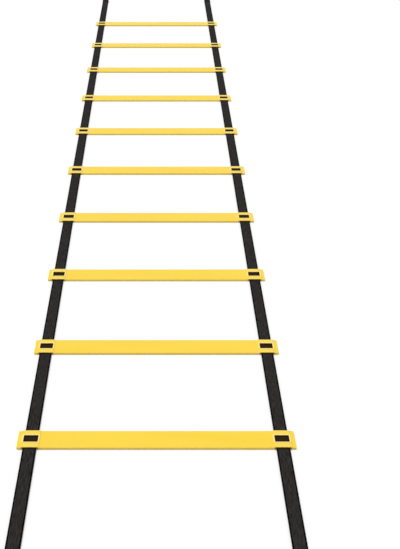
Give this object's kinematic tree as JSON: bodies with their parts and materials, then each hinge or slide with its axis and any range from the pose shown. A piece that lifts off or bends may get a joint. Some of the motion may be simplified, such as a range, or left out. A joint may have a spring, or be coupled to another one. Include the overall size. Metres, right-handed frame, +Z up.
{
  "type": "agility ladder",
  "caption": "Flat agility ladder for footwork drills: moulded plastic rungs that slide along a pair of webbing straps, with a sewn eye at each strap end.",
  "frame": {"origin": "on the ground under the middle of the ladder, the bottom centre of its box", "axes": "+X across the ladder along the rungs, +Y along the straps from rung 1 to the last rung, +Z up"},
  "size_m": [0.43, 3.285, 0.0094],
  "materials": {
    "yellow_plastic": "satin moulded polypropylene",
    "black_webbing": "flat woven polypropylene webbing"
  },
  "bodies": {
    "straps": {"strap_left": "black_webbing", "strap_right": "black_webbing"},
    "rung_01": {"rung_01": "yellow_plastic"},
    "rung_02": {"rung_02": "yellow_plastic"},
    "rung_03": {"rung_03": "yellow_plastic"},
    "rung_04": {"rung_04": "yellow_plastic"},
    "rung_05": {"rung_05": "yellow_plastic"},
    "rung_06": {"rung_06": "yellow_plastic"},
    "rung_07": {"rung_07": "yellow_plastic"},
    "rung_08": {"rung_08": "yellow_plastic"},
    "rung_09": {"rung_09": "yellow_plastic"},
    "rung_10": {"rung_10": "yellow_plastic"}
  },
  "joints": [
    {"name": "rung_01_slide", "type": "slide", "parent": "straps", "child": "rung_01", "axis": [0, 1, 0], "range_m": [-0.11, 0.11]},
    {"name": "rung_02_slide", "type": "slide", "parent": "straps", "child": "rung_02", "axis": [0, 1, 0], "range_m": [-0.11, 0.11]},
    {"name": "rung_03_slide", "type": "slide", "parent": "straps", "child": "rung_03", "axis": [0, 1, 0], "range_m": [-0.11, 0.11]},
    {"name": "rung_04_slide", "type": "slide", "parent": "straps", "child": "rung_04", "axis": [0, 1, 0], "range_m": [-0.11, 0.11]},
    {"name": "rung_05_slide", "type": "slide", "parent": "straps", "child": "rung_05", "axis": [0, 1, 0], "range_m": [-0.11, 0.11]},
    {"name": "rung_06_slide", "type": "slide", "parent": "straps", "child": "rung_06", "axis": [0, 1, 0], "range_m": [-0.11, 0.11]},
    {"name": "rung_07_slide", "type": "slide", "parent": "straps", "child": "rung_07", "axis": [0, 1, 0], "range_m": [-0.11, 0.11]},
    {"name": "rung_08_slide", "type": "slide", "parent": "straps", "child": "rung_08", "axis": [0, 1, 0], "range_m": [-0.11, 0.11]},
    {"name": "rung_09_slide", "type": "slide", "parent": "straps", "child": "rung_09", "axis": [0, 1, 0], "range_m": [-0.11, 0.11]},
    {"name": "rung_10_slide", "type": "slide", "parent": "straps", "child": "rung_10", "axis": [0, 1, 0], "range_m": [-0.11, 0.11]}
  ]
}
